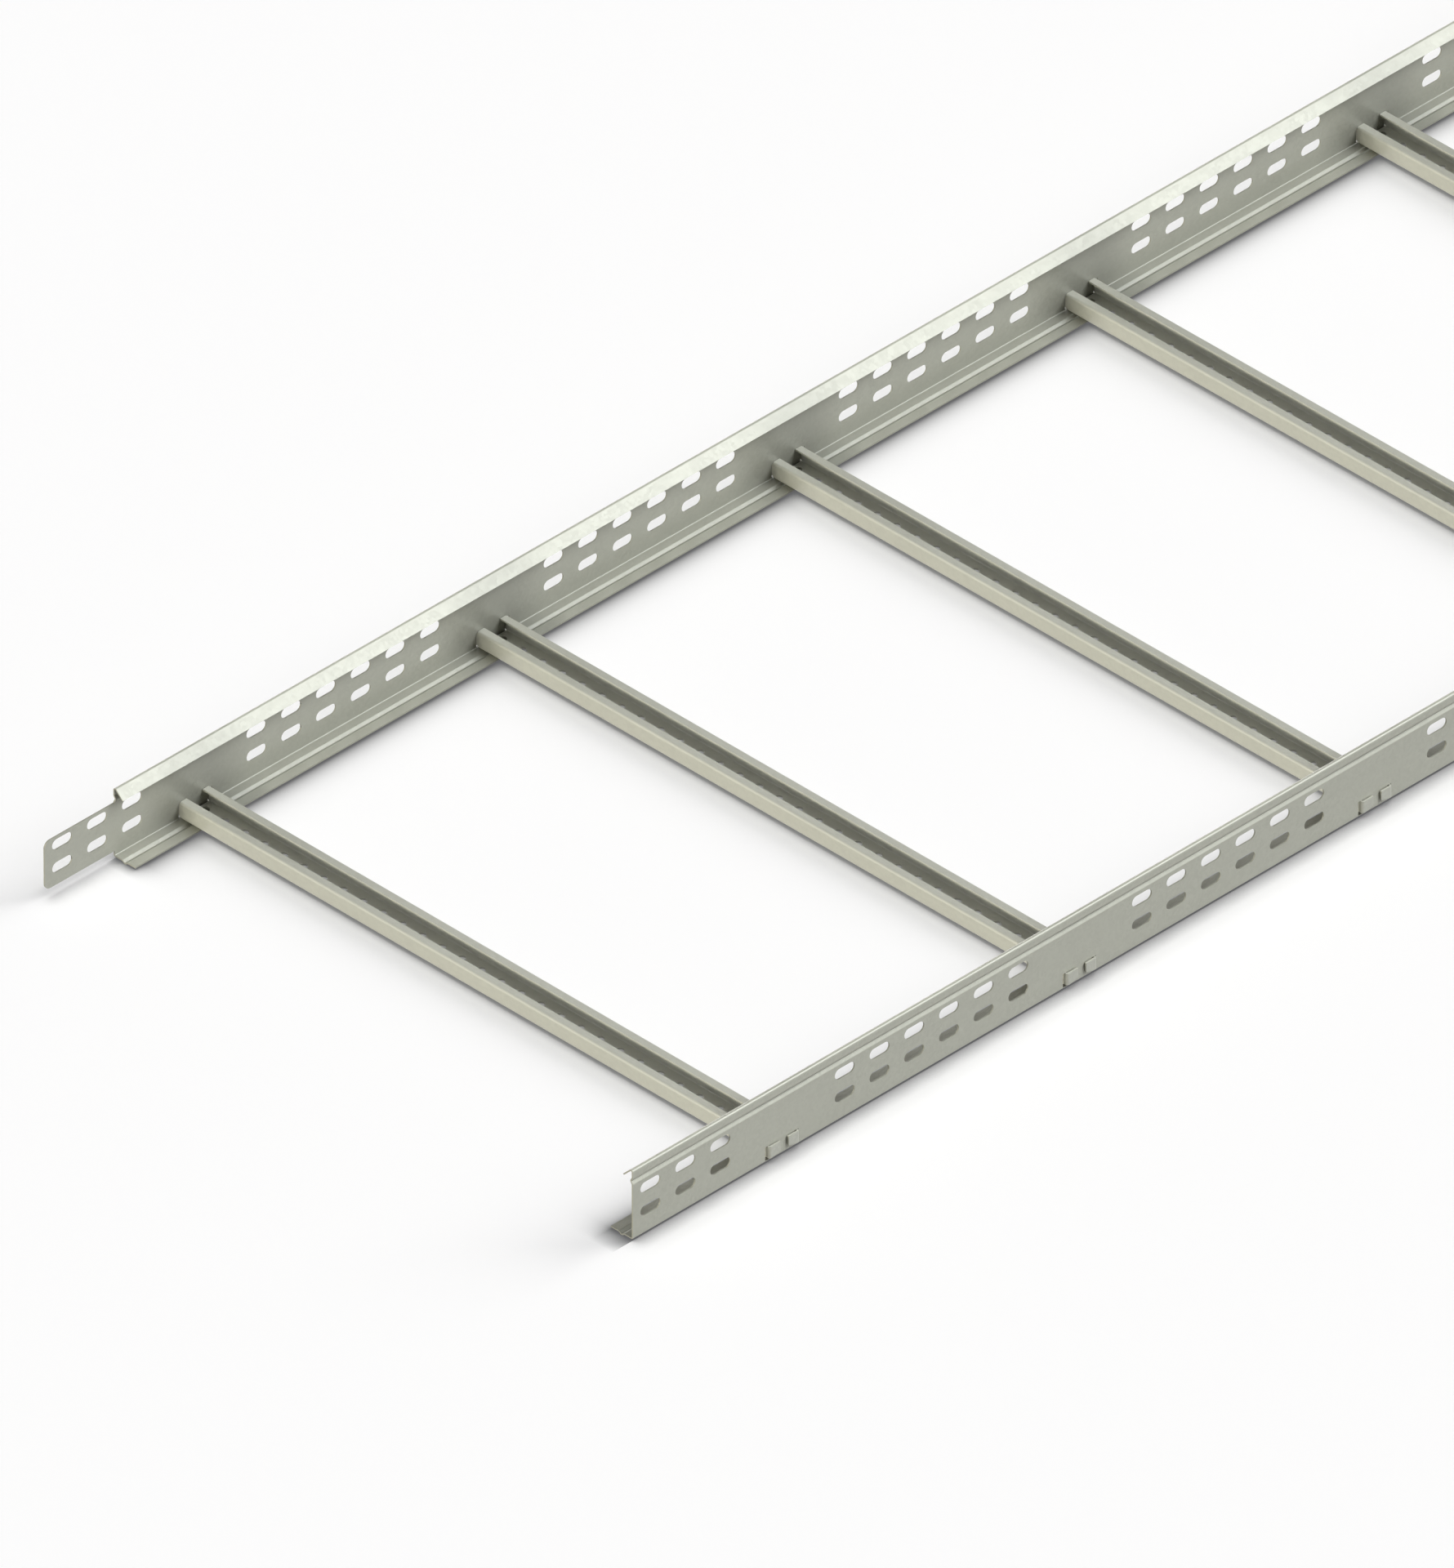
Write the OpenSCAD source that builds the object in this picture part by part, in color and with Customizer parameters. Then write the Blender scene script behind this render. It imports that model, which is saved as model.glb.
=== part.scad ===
// Cable ladder section: two formed side rails joined by lipped channel rungs.
// Each rung lies on the rails' flanges and is held by two tabs at each end,
// which pass through slots in the web and are bent over outside it.
// X runs along the rails, Y across them, and Z = 0 is the level that the ladder lies on.

/* [Ladder] */
// Length of each side rail, a whole number of rung pitches
ladder_length = 3000; // [1200:300:6000]
// Width over the bent tabs, outside to outside
ladder_width = 600; // [200:50:900]
// Distance between rungs, centre to centre
rung_pitch = 300; // [250:25:400]

/* [Side rail] */
// Height of the rail from the underside of its flange
rail_height = 60; // [58:1:110]
// Thickness of the rail's sheet
rail_sheet = 1.2; // [1:0.1:1.6]
// Outside radius of the bends at the lip and at the flange
rail_bend = 2; // [2:0.1:3]
// Flange width from the outer face of the web
flange_width = 22.2; // [20:0.2:30]
// Angle between the web and the top lip
lip_angle = 45; // [40:1:60]
// Flat length of the top lip
lip_flat = 9.2; // [6:0.2:12]

/* [Rolled beads] */
// Depth of a bead
bead_depth = 1.5; // [1:0.1:2.2]
// Width of a bead where it leaves the sheet
bead_width = 5.6; // [5.6:0.2:8]
// Width of the flat at the bottom of a bead
bead_flat = 0.8; // [0.6:0.1:1.2]
// Radius of a bead's bends, at the middle of the sheet
bead_radius = 0.9; // [0.85:0.05:1]
// Height of the web bead above the underside of the flange
web_bead_height = 50.5; // [48:0.5:52]
// Distance of the flange bead from the outer face of the web
flange_bead_place = 11.5; // [10:0.5:14]

/* [Joining slots] */
// Length of a slot
slot_length = 20; // [12:0.5:24]
// Width of a slot
slot_width = 9; // [6:0.5:10]
// Distance between slots along the rail
slot_pitch = 35; // [30:1:38]
// Slots along the rail in each group, halfway between two rungs
slots_in_group = 6; // [2:2:6]
// Height of the lower row above the underside of the flange
lower_row_height = 20; // [18:0.5:22]
// Height of the upper row above the underside of the flange
upper_row_height = 40; // [36:0.5:41]

/* [Joining tongue] */
// Length of the tongue at one end of each rail
tongue_length = 70; // [64:1:76]
// Height of the tongue's lower edge above the underside of the flange
tongue_bottom = 5; // [4:0.5:10]
// Strip of web left off the tongue, between its upper edge and the web bead
tongue_room = 0.8; // [0.1:0.1:0.8]
// Radius of the tongue's corners
tongue_corner = 5.5; // [2:0.5:8]

/* [Rung] */
// Width of the channel
rung_width = 30.5; // [26:0.5:41]
// Height of the channel
rung_height = 14; // [13:0.5:21]
// Thickness of the rung's sheet
rung_sheet = 1.5; // [1.2:0.1:2]
// Outside radius of the channel's bends
rung_bend = 2; // [2:0.1:3]
// Width of each lip, from the outer face of the side wall
rung_lip = 7.1; // [5:0.1:9]

/* [Rung holes] */
// Length of a hole, across the channel
hole_length = 15; // [8:0.5:18]
// Width of a hole, along the channel
hole_width = 7; // [4:0.5:9]
// Distance between holes along the channel
hole_pitch = 20; // [15:1:40]
// Least sheet left between the last hole and the end of the channel
hole_edge = 1.5; // [1:0.5:10]

/* [Rung tabs] */
// Height of a tab
tab_height = 10; // [6:0.5:10]
// Distance from the outer face of the side wall to the tab's free end
tab_reach = 11.2; // [8:0.2:12]
// Gap between the web and a tab bent over it
tab_gap = 0.7; // [0.5:0.1:1.2]
// How much of a tab's height is lost at its free end, where its lower edge rises
tab_taper = 2; // [0:0.5:3]
// Clearance of the web's slot beside a tab, on the side that it is bent from
tab_room_outside = 1.5; // [1:0.1:4]
// Clearance of the web's slot beside a tab, on the side that it is bent to
tab_room_inside = 1.2; // [1:0.1:2]
// How far the web's tab slots are set off towards the rail's plain end
tab_slot_shift = 0.8; // [0:0.1:0.8]
// Clearance of the web's slot below a tab
tab_room_below = 1.7; // [1.5:0.1:1.9]
// Clearance of the web's slot above a tab
tab_room_above = 0.3; // [0.2:0.1:1]
// Clearance between the end of the channel and the rail, at the web and at its bend
rung_end_gap = 0.2; // [0.1:0.1:0.5]

/* [Hidden] */
rung_count = floor(ladder_length / rung_pitch);

$fn = 48;
// Largest turn between two facets of a bend, in degrees
bend_step = 12;
// How far a cutting shape runs past the sheet that it cuts
overrun = 1;

// The flange stands above the floor on its bead
flange_lift = bead_depth;
// A tab stands this far out of the web
tab_stand = tab_gap + rung_sheet;
// From the ladder's middle to the outer face of a web
web_face = ladder_width / 2 - tab_stand;
// From the ladder's middle to the end of a rung's side walls and lips
rung_end = web_face - rail_sheet - rung_end_gap;
// From the ladder's middle to the end of a rung's base, which stops short of the rail's bend
base_end = rung_end - (rail_bend - rail_sheet);
// Underside of a tab, above the underside of the flange
tab_foot = rail_sheet + rung_height / 2 - tab_height / 2;
// From the rail's end to the first gap between two rungs, halfway
first_gap = (ladder_length - rung_count * rung_pitch) / 2;

// ---- Bent sheet ----

// Direction of a path's leg i
function leg(path, i) = (path[i + 1] - path[i]) / norm(path[i + 1] - path[i]);

// A direction turned by an angle
function turned(d, angle) = [d.x * cos(angle) - d.y * sin(angle), d.x * sin(angle) + d.y * cos(angle)];

// One face of a sheet that follows a path: each inner corner is a bend of its own radius,
// and side is the distance from the path to the face, positive on the path's left
function sheet_face(path, radii, side) = concat(
    [path[0] + side * turned(leg(path, 0), 90)],
    [for (i = [1:len(path) - 2])
        let (
            d = leg(path, i - 1),
            e = leg(path, i),
            bend = atan2(cross(d, e), d * e),
            way = sign(bend),
            radius = radii[i - 1],
            centre = path[i] - d * radius * tan(abs(bend) / 2) + turned(d, 90) * radius * way,
            steps = ceil(abs(bend) / bend_step)
        )
        for (k = [0:steps]) centre + turned(d, 90 + bend * k / steps) * (side - radius * way)],
    [path[len(path) - 1] + side * turned(leg(path, len(path) - 2), 90)]
);

function backwards(points) = [for (i = [len(points) - 1:-1:0]) points[i]];

module bent_sheet(path, radii, sheet) {
    polygon(concat(sheet_face(path, radii, sheet / 2), backwards(sheet_face(path, radii, -sheet / 2))));
}

// The four corners of a bead: place is its middle, along the way that the path runs there,
// and into the way that the bead is pressed
function bead(place, along, into) = [
    place - along * bead_width / 2,
    place - along * bead_flat / 2 + into * bead_depth,
    place + along * bead_flat / 2 + into * bead_depth,
    place + along * bead_width / 2
];

// An oblong with round ends, along X
module oblong(length, width) {
    square([length - width, width], center = true);
    for (end = [-1, 1]) translate([end * (length - width) / 2, 0]) circle(d = width);
}

// ---- Side rail: x runs inward from the web's outer face and y up from the flange's underside ----

rail_mid = rail_sheet / 2;
lip_turn = 180 - lip_angle;
lip_tangent = (rail_bend - rail_mid) * tan(lip_turn / 2);
lip_corner = [rail_mid, rail_height - rail_bend + lip_tangent];
rail_path = concat(
    [lip_corner + (lip_tangent + lip_flat) * [sin(lip_angle), -cos(lip_angle)], lip_corner],
    bead([rail_mid, web_bead_height], [0, -1], [1, 0]),
    [[rail_mid, rail_mid]],
    bead([flange_bead_place, rail_mid], [1, 0], [0, -1]),
    [[flange_width, rail_mid]]
);
bead_radii = [for (k = [1:4]) bead_radius];
rail_radii = concat([rail_bend - rail_mid], bead_radii, [rail_bend - rail_mid], bead_radii);

// Cuts an outline drawn on the web's outer face, x along the rail, through to a depth
module through_web(depth) {
    translate([0, depth, 0]) rotate([90, 0, 0]) linear_extrude(depth + overrun) children();
}

// Two rows of slots in groups: each group lies halfway between two rungs, and half a group at each end
module joining_slots() {
    for (k = [0:rung_count], i = [1:slots_in_group]) {
        x = first_gap + k * rung_pitch + (i - (slots_in_group + 1) / 2) * slot_pitch;
        if (x > slot_length / 2 + overrun && x < ladder_length - slot_length / 2 - overrun)
            for (height = [lower_row_height, upper_row_height]) translate([x, height])
                oblong(slot_length, slot_width);
    }
}

// The upright slots that take the two tabs of each rung
module tab_slots() {
    slot = [
        tab_room_outside + rung_sheet + tab_room_inside,
        tab_room_below + tab_height + tab_room_above
    ];
    for (k = [1:rung_count], side = [0, 1])
        translate([first_gap + (k - 0.5) * rung_pitch - tab_slot_shift, tab_foot - tab_room_below]) mirror([side, 0])
            translate([-rung_width / 2 - tab_room_outside, 0]) square(slot);
}

// What is cut away round the tongue at the rail's end: everything but a flat strip of the web
module tongue_waste() {
    tongue_top = web_bead_height - bead_width / 2 - tongue_room;
    reach = tongue_length + overrun;
    translate([ladder_length - tongue_length, -overrun]) difference() {
        translate([0, -bead_depth]) square([reach, rail_height + bead_depth + 2 * overrun]);
        translate([-tongue_corner, tongue_bottom + overrun]) rounded_end(
            tongue_length + tongue_corner, tongue_top - tongue_bottom
        );
    }
}

// A rectangle from the origin whose two far corners are rounded
module rounded_end(length, height) {
    square([length - tongue_corner, height]);
    translate([0, tongue_corner]) square([length, height - 2 * tongue_corner]);
    for (y = [tongue_corner, height - tongue_corner]) translate([length - tongue_corner, y])
        circle(r = tongue_corner);
}

module side_rail_near() {
    color([0.64, 0.65, 0.61]) translate([-ladder_length / 2, -web_face, flange_lift]) difference() {
        rotate([90, 0, 90]) linear_extrude(ladder_length) bent_sheet(rail_path, rail_radii, rail_sheet);
        through_web(rail_sheet + overrun) joining_slots();
        through_web(rail_bend) tab_slots();
        through_web(flange_width + overrun) tongue_waste();
    }
}

// The same rail turned end for end
module side_rail_far() {
    rotate(180) side_rail_near();
}

// ---- Rung ----

rung_mid = rung_sheet / 2;
rung_half = rung_width / 2;
rung_path = [
    [rung_lip - rung_half, rung_height - rung_mid],
    [rung_mid - rung_half, rung_height - rung_mid],
    [rung_mid - rung_half, rung_mid],
    [rung_half - rung_mid, rung_mid],
    [rung_half - rung_mid, rung_height - rung_mid],
    [rung_half - rung_lip, rung_height - rung_mid]
];
rung_radii = [for (k = [1:4]) rung_bend - rung_mid];

// Oblong holes across the base, in even steps from the middle
module base_holes() {
    half_count = floor((base_end - hole_edge - hole_width / 2) / hole_pitch + 0.5);
    for (k = [1:half_count], side = [-1, 1])
        translate([0, side * (k - 0.5) * hole_pitch]) oblong(hole_length, hole_width);
}

// One tab of a rung seen from above: it runs on from the side wall, turns on the web's outer face
// and lies along it, towards the middle of the rung
module tab_outline() {
    turn = [tab_stand, -web_face];
    translate([0, -web_face]) square([rung_sheet, web_face - rung_end]);
    intersection() {
        translate(turn) difference() {
            circle(r = tab_stand);
            circle(r = tab_gap);
        }
        translate([0, -web_face - tab_stand]) square(tab_stand);
    }
    translate([tab_stand, -web_face - tab_stand]) square([tab_reach - tab_stand, rung_sheet]);
}

module tab() {
    flat = tab_reach - tab_stand;
    difference() {
        linear_extrude(tab_height) tab_outline();
        translate([tab_stand, overrun - web_face, 0]) rotate([90, 0, 0]) linear_extrude(tab_stand + 2 * overrun)
            polygon([[0, 0], [2 * flat, 2 * tab_taper], [2 * flat, -overrun], [0, -overrun]]);
    }
}

// What is cut away at both ends of a rung, so that its base and lower bends clear the rail's bend
module end_notches() {
    for (end = [-1, 1]) translate([0, end * (base_end + overrun + rail_bend / 2), rung_bend / 2 - overrun / 2])
        cube([rung_width + 2 * overrun, 2 * overrun + rail_bend, rung_bend + overrun], center = true);
}

module rung(k) {
    x = first_gap + (k - 0.5) * rung_pitch - ladder_length / 2;
    color([0.70, 0.70, 0.63]) translate([x, 0, flange_lift + rail_sheet]) {
        difference() {
            rotate([90, 0, 0]) linear_extrude(2 * rung_end, center = true)
                bent_sheet(rung_path, rung_radii, rung_sheet);
            translate([0, 0, -overrun]) linear_extrude(rung_sheet + 2 * overrun) base_holes();
            end_notches();
        }
        for (side = [0, 1], end = [0, 1])
            mirror([side, 0, 0]) mirror([0, end, 0])
                translate([-rung_half, 0, tab_foot - rail_sheet]) tab();
    }
}

side_rail_near();
side_rail_far();
for (k = [1:rung_count])
    rung(k);
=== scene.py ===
import bpy
import math
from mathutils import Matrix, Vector


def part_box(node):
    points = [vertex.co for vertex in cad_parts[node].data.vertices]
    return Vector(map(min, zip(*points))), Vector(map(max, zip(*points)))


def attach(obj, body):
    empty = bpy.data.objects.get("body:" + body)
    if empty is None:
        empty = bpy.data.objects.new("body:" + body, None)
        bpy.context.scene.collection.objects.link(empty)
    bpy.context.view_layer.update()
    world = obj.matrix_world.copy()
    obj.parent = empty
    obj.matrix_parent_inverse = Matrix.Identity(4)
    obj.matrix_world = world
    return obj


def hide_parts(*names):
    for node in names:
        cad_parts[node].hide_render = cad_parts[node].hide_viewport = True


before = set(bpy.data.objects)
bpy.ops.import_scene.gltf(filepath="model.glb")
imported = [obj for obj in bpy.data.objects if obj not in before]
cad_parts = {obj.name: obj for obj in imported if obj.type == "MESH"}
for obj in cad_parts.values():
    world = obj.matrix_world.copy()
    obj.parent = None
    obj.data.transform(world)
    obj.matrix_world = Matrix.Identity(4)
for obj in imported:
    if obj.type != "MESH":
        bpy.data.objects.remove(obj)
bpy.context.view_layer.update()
print("frame loaded:", len(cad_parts), "pieces")

# x runs along the rails, y across them and z up, with a rail on each side of y = 0
nearLow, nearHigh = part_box("side_rail_near")
rungLow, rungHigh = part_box("rung_1")
webFace = -nearLow.y                      # outer face of a web, from the ladder's middle
flangeEdge = -nearHigh.y                  # free edge of a flange
railLength = nearHigh.x - nearLow.x
railSheet, rungSheet = 0.0012, 0.0015
hair = 0.0001
webInside = webFace - railSheet + hair    # just past the web's inner face
rungMiddle = (rungLow.x + rungHigh.x) / 2
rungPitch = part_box("rung_2")[0].x - rungLow.x


class Sock:
    # one output of a node, used like a number
    def __init__(self, finish, socket):
        self.finish, self.socket = finish, socket

    def other(self, name):
        # another output of the same node
        return Sock(self.finish, self.socket.node.outputs[name])

    def math(self, operation, *others):
        values = dict(enumerate((self,) + others))
        return self.finish.add("ShaderNodeMath", {"operation": operation}, values)

    def reflected(self, operation, first):
        return self.finish.add("ShaderNodeMath", {"operation": operation}, {0: first, 1: self})

    def __add__(self, other): return self.math("ADD", other)
    def __radd__(self, other): return self.math("ADD", other)
    def __sub__(self, other): return self.math("SUBTRACT", other)
    def __rsub__(self, other): return self.reflected("SUBTRACT", other)
    def __mul__(self, other): return self.math("MULTIPLY", other)
    def __rmul__(self, other): return self.math("MULTIPLY", other)
    def __truediv__(self, other): return self.math("DIVIDE", other)
    def __rtruediv__(self, other): return self.reflected("DIVIDE", other)
    def __pow__(self, other): return self.math("POWER", other)
    def __lt__(self, other): return self.math("LESS_THAN", other)
    def __gt__(self, other): return self.math("GREATER_THAN", other)
    def __abs__(self): return self.math("ABSOLUTE")


class Finish:
    # a node tree that is being built up, of a material or of the world
    def __init__(self, owner, outputKind="ShaderNodeOutputMaterial"):
        owner.use_nodes = True
        self.tree = owner.node_tree
        self.tree.nodes.clear()
        self.output = self.tree.nodes.new(outputKind)
        self.owner = owner

    def add(self, kind, settings=None, values=None, output=0):
        node = self.tree.nodes.new(kind)
        for key, value in (settings or {}).items():
            setattr(node, key, value)
        for key, value in (values or {}).items():
            if isinstance(value, Sock):
                self.tree.links.new(value.socket, node.inputs[key])
            else:
                node.inputs[key].default_value = value
        return Sock(self, node.outputs[output])

    def mix(self, factor, first, second):
        # two colours mixed
        values = {0: factor, 6: first, 7: second}
        return self.add("ShaderNodeMix", {"data_type": "RGBA"}, values, 2)

    def mixShaders(self, factor, first, second):
        return self.add("ShaderNodeMixShader", None, {0: factor, 1: first, 2: second})

    def ramp(self, value, start, end, low, high, kind="LINEAR"):
        # low at start, high at end, and held beyond them
        values = {0: value, 1: start, 2: end, 3: low, 4: high}
        return self.add("ShaderNodeMapRange", {"interpolation_type": kind}, values)

    def noise(self, place, scale, detail, roughness):
        values = {"Vector": place, "Scale": scale, "Detail": detail, "Roughness": roughness}
        return self.add("ShaderNodeTexNoise", None, values)

    def openness(self, reach, samples, onlyOwn=False):
        # 1 in the open, less where something is within reach
        settings = {"samples": samples, "only_local": onlyOwn}
        return self.add("ShaderNodeAmbientOcclusion", settings, {"Distance": reach}, "AO")

    def shine(self, kind, strength, colour=(1, 1, 1, 1)):
        return self.add(kind, None, {"Color": colour, "Strength": strength})

    def surface(self, shader):
        self.tree.links.new(shader.socket, self.output.inputs["Surface"])


def grey(tone):
    return (tone, tone, tone, 1)


def tinted(colour, factor):
    return tuple(part * factor for part in colour) + (1,)


camera = {
    "lens": 1500.0,                       # very long, so that parallel edges stay parallel
    "sensor": 36.0,
    "fieldHeight": 1.1224,                # metres from the foot of the view to its top
    "aim": Vector((-1.0571, 0.0509, 0.0015)),
    "toCamera": Vector((-1, -1, 1)).normalized(),
    "clip": (1.0, 200.0),
}
camData = bpy.data.cameras.new("camera")
camData.lens, camData.sensor_width = camera["lens"], camera["sensor"]
camData.clip_start, camData.clip_end = camera["clip"]
camObject = bpy.data.objects.new("camera", camData)
bpy.context.scene.collection.objects.link(camObject)
distance = camera["fieldHeight"] / camera["sensor"] * camera["lens"]
camObject.location = camera["aim"] + camera["toCamera"] * distance
camObject.rotation_mode = "QUATERNION"
camObject.rotation_quaternion = (-camera["toCamera"]).to_track_quat("-Z", "Y")
bpy.context.scene.camera = camObject
print("camera set")

ground = {
    "size": 60.0,
    "tone": 0.985,                        # the floor as it is looked at
    "bounceTone": 0.45,                   # what it throws back on the sheet
    "shownTone": 0.58,                    # how bright the metal shows it
    "lift": 0.13,                         # keeps the darkest shade on it grey
    "liftColour": (0.97, 0.975, 1, 1),
    "contactShadeReach": 0.015,                   # how far the painted contact shade at a resting edge spreads
    "contactShadeSamples": 5,
    "contactShadeDepth": 1.6,
    "railContactShade": (0.16, 0.16, 0.175, 1),   # colour of the painted contact shade by the rails
    "rungContactShade": (0.62, 0.62, 0.63, 1),    # and by the rungs
    "contactShadeChange": 0.01,                   # width of the change between them
    "shadeReach": 0.0095,                 # how fast the soft shade by a flange fades
    "shadeDepth": 0.90,
    "shadeFrom": 0.06,                    # how far from a rail's tongue end it begins
    "shadeEnd": 0.02,                     # length over which it comes in and goes out
    "webShy": 0.001,                      # how far short of the web's face the shade stops
}
bpy.ops.object.select_all(action="DESELECT")
bpy.ops.mesh.primitive_plane_add(size=ground["size"], location=(0, 0, 0))
floor = bpy.context.object
floor.name = "floor"
paper = Finish(bpy.data.materials.new("paleFloor"))
lookedAt = paper.add("ShaderNodeLightPath", None, None, "Is Camera Ray")
glossy = lookedAt.other("Is Glossy Ray")
spot = paper.add("ShaderNodeTexCoord", None, None, "Object")
alongLadder = paper.add("ShaderNodeSeparateXYZ", None, {0: spot}, "X")
acrossLadder = alongLadder.other("Y")
fromMiddle = abs(acrossLadder)

# painted contact shade, darker where metal comes close to the floor
toRail = paper.ramp(fromMiddle, flangeEdge - ground["contactShadeChange"], flangeEdge, 0.0, 1.0)
contactShade = paper.mix(toRail, ground["rungContactShade"], ground["railContactShade"])
clear = paper.openness(ground["contactShadeReach"], ground["contactShadeSamples"])
resting = paper.mix(clear ** ground["contactShadeDepth"], contactShade, grey(ground["tone"]))

# the soft shade along a flange's free edge, with none of it by a tongue
fading = ((fromMiddle - flangeEdge).math("MINIMUM", 0.0) / ground["shadeReach"]).math("EXPONENT")
fromTongue = alongLadder * acrossLadder.math("SIGN") - nearLow.x
begun = ground["shadeFrom"] + ground["shadeEnd"]
byFlange = paper.ramp(fromTongue, ground["shadeFrom"], begun, 0.0, 1.0)
byEnd = paper.ramp(fromTongue, railLength, railLength + ground["shadeEnd"], 1.0, 0.0)
underWeb = fromMiddle < webFace - ground["webShy"]
shade = ground["shadeDepth"] * fading * byFlange * byEnd * underWeb
resting = paper.mix(1 - shade, grey(0), resting)

tone = paper.mix(lookedAt, grey(ground["bounceTone"]), resting)
scatter = paper.add("ShaderNodeBsdfDiffuse", None, {"Color": tone})
lifted = paper.shine("ShaderNodeEmission", 1.0, ground["liftColour"])
shown = paper.shine("ShaderNodeEmission", ground["shownTone"])
looked = paper.mixShaders(ground["lift"] * lookedAt, scatter, lifted)
paper.surface(paper.mixShaders(glossy, looked, shown))
floor.data.materials.append(paper.owner)

studio = {
    "white": 1.0,                         # the backdrop as it is looked at
    "ambient": 0.065,                     # faint light from all round
    "low": 0.55,                          # the room as the metal shows it, low down
    "high": 0.05,                         # and overhead
    "highFrom": 0.8,                      # reached at this height, of 1 for straight up
    "windowAt": (-0.577, 0.577, 0.577),   # a bright patch in it, for the bends of the rungs
    "windowSpan": (0.78, 0.97),           # cosines of its rim and of its brightest part
    "windowTone": 1.3,
}
world = bpy.data.worlds.new("studio")
bpy.context.scene.world = world
air = Finish(world, "ShaderNodeOutputWorld")
direction = air.add("ShaderNodeTexCoord", None, None, "Generated")
upward = air.add("ShaderNodeSeparateXYZ", None, {0: direction}, "Z")
roomTone = air.ramp(upward, 0.0, studio["highFrom"], studio["low"], studio["high"])
towards = air.add("ShaderNodeVectorMath", {"operation": "DOT_PRODUCT"},
                  {0: direction, 1: studio["windowAt"]}, "Value")
window = air.ramp(towards, *studio["windowSpan"], 0.0, studio["windowTone"])
dim = air.shine("ShaderNodeBackground", studio["ambient"])
room = air.shine("ShaderNodeBackground", roomTone + window)
white = air.shine("ShaderNodeBackground", studio["white"])
seen = air.add("ShaderNodeLightPath", None, None, "Is Camera Ray")
inMetal = air.mixShaders(seen.other("Is Glossy Ray"), dim, room)
seen = seen.math("MAXIMUM", seen.other("Is Transmission Ray"))
air.surface(air.mixShaders(seen, inMetal, white))

lights = {
    # direction towards the light, its spread in degrees, level on a sheet that faces it,
    # colour, and what it lights
    "overhead": ((0.0, 0.11, 1.0), 44, 0.575, (1.0, 1.0, 1.0), "floor"),
    "sideGlow": ((0.72, -0.28, 0.42), 40, 0.64, (1.0, 0.985, 0.97), "floor"),
    "backGlow": ((-0.70, 0.30, 0.50), 60, 0.10, (1.0, 0.99, 0.98), "floor"),
    "key": ((0.42, -0.58, 0.68), 42, 0.93, (0.95, 0.98, 1.0), "sheet"),
    "warmFill": ((-0.95, 0.04, 0.25), 18, 0.82, (1.0, 0.97, 0.85), "sheet"),
    "backFill": ((0.55, 0.80, 0.10), 30, 0.26, (1.0, 1.0, 1.0), "sheet"),
}
lampDistance = 3.0
linked = {}
for kind in ("floor", "sheet"):
    linked[kind] = bpy.data.collections.new(kind + "Lit")
    linked[kind].objects.link(floor)
linked["sheet"].collection_objects[0].light_linking.link_state = "EXCLUDE"
for name, (toLight, spread, level, colour, kind) in lights.items():
    light = bpy.data.lights.new(name, "SUN")
    light.angle, light.energy, light.color = math.radians(spread), level * math.pi, colour
    lamp = bpy.data.objects.new(name, light)
    lamp.rotation_mode = "QUATERNION"
    lamp.rotation_quaternion = Vector(toLight).to_track_quat("Z", "Y")
    lamp.location = Vector(toLight).normalized() * lampDistance
    lamp.light_linking.receiver_collection = linked[kind]
    bpy.context.scene.collection.objects.link(lamp)
bpy.context.scene.view_settings.view_transform = "Standard"
print("stage and lights set")

zinc = {
    "clouds": (7.0, 3.0, 0.55),           # scale per metre, detail and roughness of each noise
    "lines": (1.0, 4.0, 0.6),
    "grain": (1500.0, 2.0, 0.7),
    "crystalScale": 430.0,
    "shares": (0.35, 0.25, 0.25, 0.15),   # of clouds, rolling lines, crystals and grain
    "span": (0.30, 0.70),                 # of the sum of those, from dull to bright
    "dull": 0.965,
    "bright": 1.035,
    "bare": (0.6732, 0.66, 0.627),        # a cut edge's colour, against the sheet's
    "bareShare": 0.8,
    "rough": 0.52,
    "roughBy": (0.07, 0.10, 0.08, 0.06),  # more of it by crystals, grain, lines and cut edges
    "metal": 0.24,
    "metalLoss": 0.05,                    # less of it on the brightest patches
    "lean": 0.09,                         # how far the crystals turn the light
    "relief": 0.35,
    "reliefDepth": 0.00006,
    "reliefShares": (0.6, 0.4),           # of grain and rolling lines
    "coat": 0.75,
    "coatRough": 0.36,
}


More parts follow.
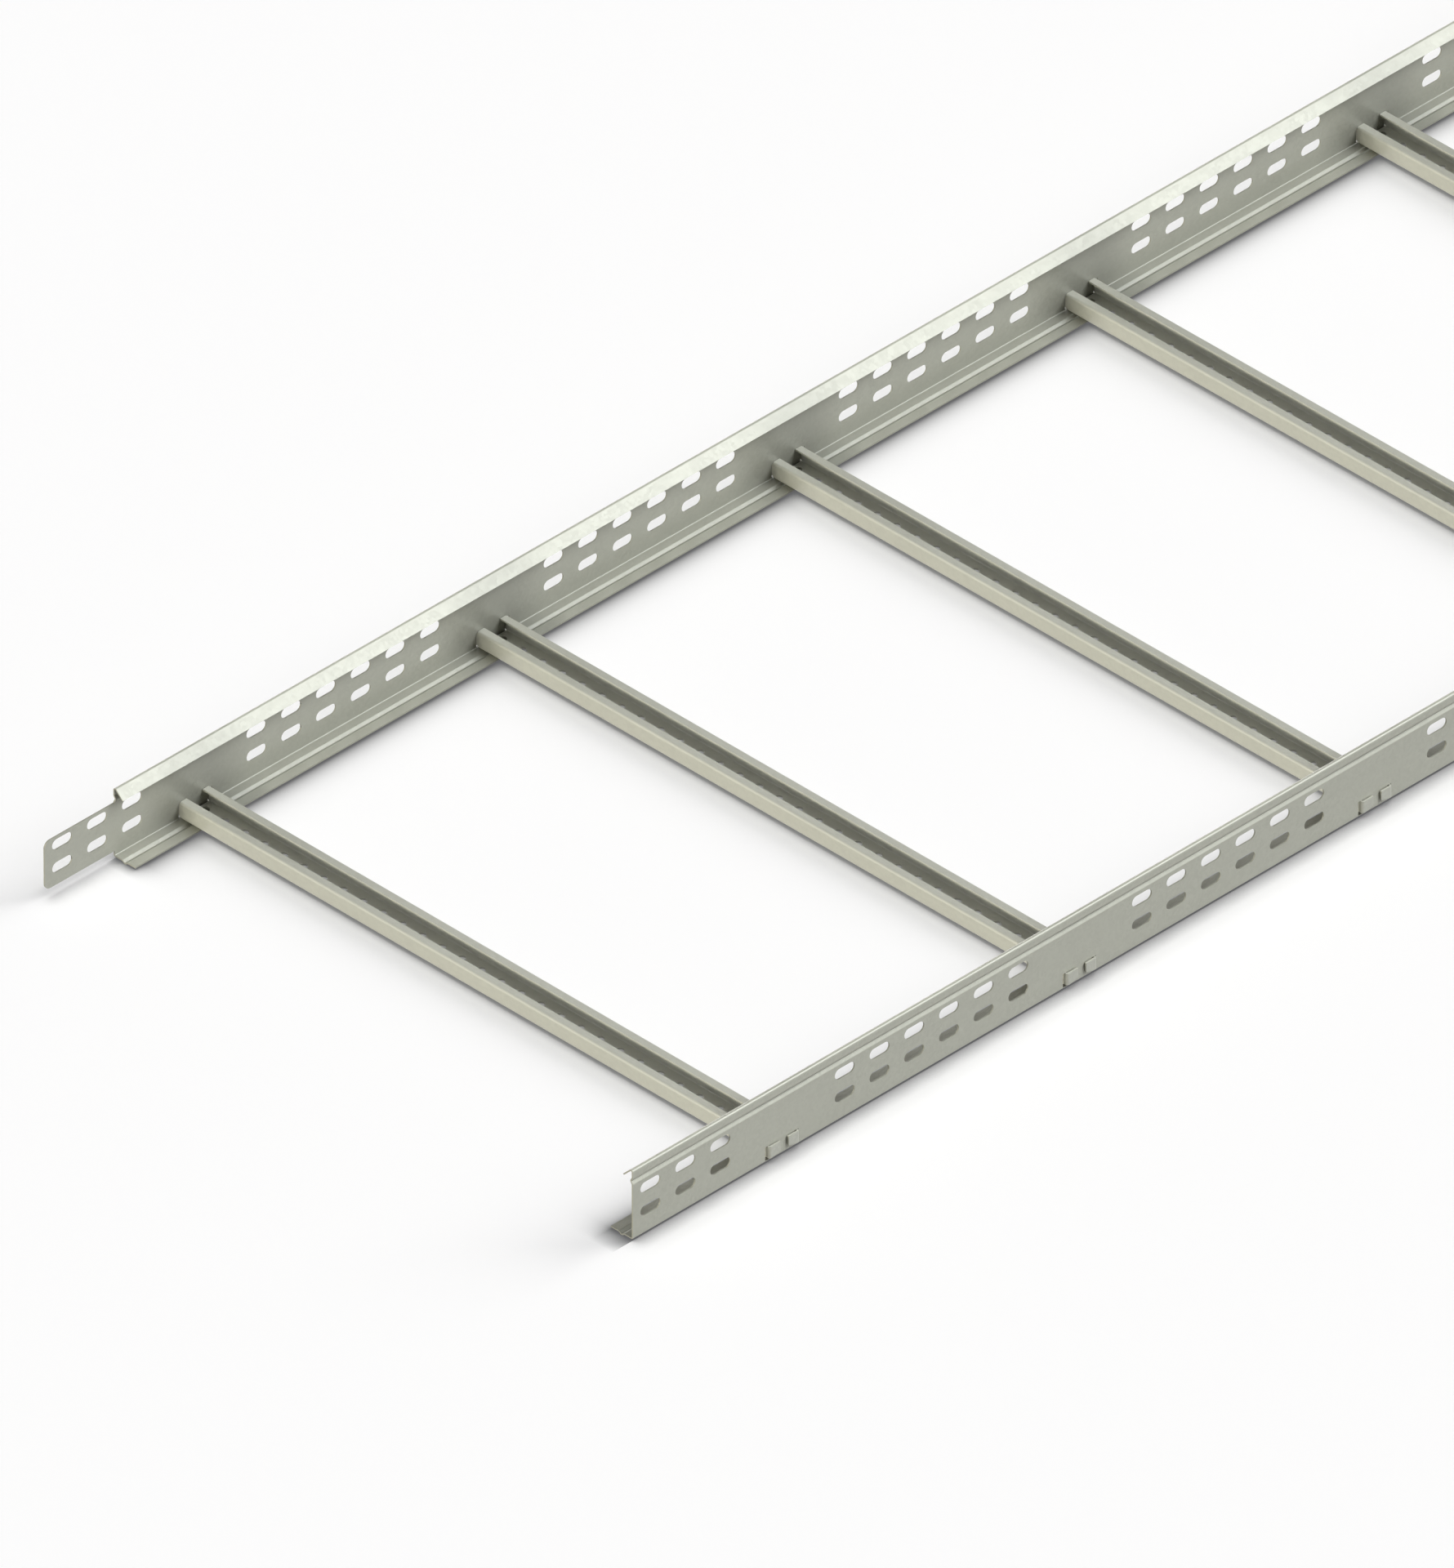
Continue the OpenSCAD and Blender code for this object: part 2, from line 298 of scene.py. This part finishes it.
def galvanised(name, tone, rolling, paintLightAndShade):
    # rolling stretches the rolling lines along x, y and z, and the last argument paints light and
    # shade into the colour by place
    look = Finish(bpy.data.materials.new(name))
    place = look.add("ShaderNodeTexCoord", None, None, "Object")
    rolled = look.add("ShaderNodeMapping", None, {"Vector": place, "Scale": rolling})
    clouds = look.noise(place, *zinc["clouds"])
    lines = look.noise(rolled, *zinc["lines"])
    grain = look.noise(place, *zinc["grain"])
    crystal = look.add("ShaderNodeTexVoronoi", {"feature": "F1"},
                       {"Vector": place, "Scale": zinc["crystalScale"], "Randomness": 1.0}, "Color")
    crystalTone = look.add("ShaderNodeSeparateColor", None, {0: crystal}, 0)
    cut = look.add("ShaderNodeAttribute", {"attribute_name": "cutEdge"}, None, "Fac")

    byClouds, byLines, byCrystal, byGrain = zinc["shares"]
    patch = byClouds * clouds + byLines * lines + byCrystal * crystalTone + byGrain * grain
    spread = look.ramp(patch, *zinc["span"], 0.0, 1.0)
    sheet = look.mix(spread, tinted(tone, zinc["dull"]), tinted(tone, zinc["bright"]))
    bare = tuple(part * share for part, share in zip(tone, zinc["bare"])) + (1,)
    colour = paintLightAndShade(look, place, look.mix(zinc["bareShare"] * cut, sheet, bare), tone)

    byCrystal, byGrain, byLines, byCut = zinc["roughBy"]
    rough = zinc["rough"] + byCrystal * (crystalTone - 0.5) + byGrain * (grain - 0.5)
    rough = rough + byLines * (lines - 0.5) + byCut * cut
    metal = zinc["metal"] - zinc["metalLoss"] * spread

    def vector(operation, values):
        return look.add("ShaderNodeVectorMath", {"operation": operation}, values)

    normal = look.add("ShaderNodeNewGeometry", None, None, "Normal")
    lean = vector("SUBTRACT", {0: crystal, 1: (0.5, 0.5, 0.5)})
    lean = vector("SCALE", {0: lean, "Scale": zinc["lean"]})
    leaning = vector("NORMALIZE", {0: vector("ADD", {0: normal, 1: lean})})
    byGrain, byLines = zinc["reliefShares"]
    bump = look.add("ShaderNodeBump", None, {
        "Strength": zinc["relief"],
        "Distance": zinc["reliefDepth"],
        "Height": byGrain * grain + byLines * lines,
        "Normal": leaning,
    })
    look.surface(look.add("ShaderNodeBsdfPrincipled", None, {
        "Base Color": colour,
        "Metallic": metal,
        "Roughness": rough,
        "Normal": bump,
        "Coat Weight": zinc["coat"],
        "Coat Roughness": zinc["coatRough"],
    }))
    return look.owner


def measured(look, place):
    # the distance along the rails from the nearest rung's middle, y, and the height
    along = look.add("ShaderNodeSeparateXYZ", None, {0: place}, "X")
    fromRung = (along - rungMiddle).math("PINGPONG", rungPitch / 2)
    return fromRung, along.other("Y"), along.other("Z")


rail = {
    "tone": (0.49, 0.49, 0.415),
    "rolling": (3.0, 700.0, 700.0),
    "paintedShadeTone": 0.25,                         # the darkest painted shade colour, against the sheet's
    "cornerReach": 0.032,
    "cornerSamples": 3,
    "cornerShare": 0.66,                  # how far an inner corner is darkened by painted shade
    "rungShare": 0.53,                    # how far the web is darkened by painted shade by a rung
    "rungSpan": (0.012, 0.062),           # distances from a rung's middle, from full painted shade to none
    "lowSpan": (0.012, 0.056),            # heights between which the rung's share falls
    "highShare": 0.35,                    # and what is left of it at the upper one
    "flangeShare": 0.35,                  # how far the near flange is darkened by painted shade
    "flangeHeight": 0.010,
}
rung = {
    "tone": (0.535, 0.535, 0.465),
    "rolling": (700.0, 3.0, 700.0),
    "paintedInsideLight": (0.71, 0.71, 0.66, 1),      # painted light: a brighter colour inside the channel
    "skin": 0.0014,                       # just within the thickness of its wall and base
    "lipShy": 0.0016,                     # how far below the lips' top the inside begins
    "webShy": 0.001,
}


def railShadePainted(look, place, colour, tone):
    # painted shade: darker in the section's own inner corners, and on the inside of the web by each
    # rung
    fromRung, across, height = measured(look, place)
    corner = 1 - look.openness(rail["cornerReach"], rail["cornerSamples"], True)
    beside = look.ramp(fromRung, *rail["rungSpan"], 1.0, 0.0, "SMOOTHSTEP")
    lowDown = look.ramp(height, *rail["lowSpan"], 1.0, rail["highShare"])
    # the near flange lies in the shade of its own web
    nearFlange = (across < 0.0) * (height < rail["flangeHeight"])
    kept = (1 - rail["cornerShare"] * corner) * (1 - rail["rungShare"] * beside * lowDown)
    kept = kept * (1 - rail["flangeShare"] * nearFlange)
    # how far the colour goes towards the painted shade tone, on the inner faces only
    paintedShade = (abs(across) < webInside) * (1 - kept)
    return look.mix(paintedShade, colour, tinted(tone, rail["paintedShadeTone"]))


def rungLightPainted(look, place, colour, tone):
    # painted light: the inside of the channel is made brighter than the rest of the sheet
    fromRung, across, height = measured(look, place)
    within = (height > rungLow.z + rung["skin"]) * (height < rungHigh.z - rung["lipShy"])
    within = within * (fromRung < (rungHigh.x - rungLow.x) / 2 - rung["skin"])
    within = within * (abs(across) < webInside - rung["webShy"])
    return look.mix(within, colour, rung["paintedInsideLight"])


railZinc = galvanised("railZinc", rail["tone"], rail["rolling"], railShadePainted)
rungZinc = galvanised("rungZinc", rung["tone"], rung["rolling"], rungLightPainted)
print("finishes mixed")

edging = {
    "round": 0.00014,                     # how far a sheared edge is rounded
    "steps": 2,
    "sharpFrom": 50.0,                    # turns of more degrees than this are rounded
    "weldWithin": 0.000002,
    "flatWithin": 0.4,                    # turns of fewer degrees than this are made flat
    "bendSmooth": 35.0,                   # turns up to this many degrees are shaded as one bend
    "flatWeight": 100,                    # how far large faces win over the rounded edges
    "middleWithin": 0.0003,               # a sheared face's middle is this near the sheet's
    "upright": 0.02,                      # and its normal leans this little out of the sheet
    "endOn": 0.99,                        # how squarely an end faces its way
    "edgeWithin": 0.00002,
    "holesEnd": 0.0023,                   # the rungs' holes end this far short of the web's face
    "channelEnds": 0.0003,                # the rungs' ends lie at least this far short of it
}


def onlySelect(thing):
    bpy.ops.object.select_all(action="DESELECT")
    thing.select_set(True)
    bpy.context.view_layer.objects.active = thing


def isCut(node, face):
    # sheared faces: the ends of the sheet, and the walls of slots and holes
    aside, height, normal = abs(face.center.y), face.center.z, face.normal
    if node.startswith("side_rail"):
        inWeb = abs(aside - (webFace - railSheet / 2)) < edging["middleWithin"]
        inSlot = inWeb and abs(normal.y) < edging["upright"]
        onEdge = abs(aside - flangeEdge) < edging["edgeWithin"]
        return abs(normal.x) > edging["endOn"] or inSlot or onEdge
    inBase = abs(height - rungLow.z - rungSheet / 2) < edging["middleWithin"]
    inHole = inBase and abs(normal.z) < edging["upright"] and aside < webFace - edging["holesEnd"]
    onEnd = abs(normal.y) > edging["endOn"] and aside < webFace - edging["channelEnds"]
    return inHole or onEnd


def formedSheet(node, name, finish):
    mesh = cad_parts[node].data.copy()
    mesh.name = name
    piece = bpy.data.objects.new(name, mesh)
    bpy.context.scene.collection.objects.link(piece)
    onlySelect(piece)
    bpy.ops.object.mode_set(mode="EDIT")
    bpy.ops.mesh.select_all(action="SELECT")
    bpy.ops.mesh.remove_doubles(threshold=edging["weldWithin"])
    bpy.ops.mesh.dissolve_limited(angle_limit=math.radians(edging["flatWithin"]))
    bpy.ops.object.mode_set(mode="OBJECT")
    cut = mesh.attributes.new("cutEdge", "FLOAT", "FACE")
    for face in mesh.polygons:
        cut.data[face.index].value = 1.0 if isCut(node, face) else 0.0
    edge = piece.modifiers.new("edge", "BEVEL")
    edge.width, edge.segments, edge.limit_method = edging["round"], edging["steps"], "ANGLE"
    edge.angle_limit = math.radians(edging["sharpFrom"])
    edge.use_clamp_overlap = True
    bpy.ops.object.modifier_apply(modifier="edge")
    bpy.ops.object.shade_smooth_by_angle(angle=math.radians(edging["bendSmooth"]))
    flat = piece.modifiers.new("flat", "WEIGHTED_NORMAL")
    flat.keep_sharp, flat.weight = True, edging["flatWeight"]
    bpy.ops.object.modifier_apply(modifier="flat")
    piece.data.materials.clear()
    piece.data.materials.append(finish)
    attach(piece, "root")
    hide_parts(node)


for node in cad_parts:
    if node.startswith("side_rail"):
        formedSheet(node, node.replace("side_rail_", "formedRail_"), railZinc)
    else:
        formedSheet(node, node.replace("rung_", "crossRung_"), rungZinc)
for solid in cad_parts.values():
    solid.data.materials.clear()
    solid.data.materials.append(railZinc if solid.name.startswith("side_rail") else rungZinc)
print("sheet pieces finished")
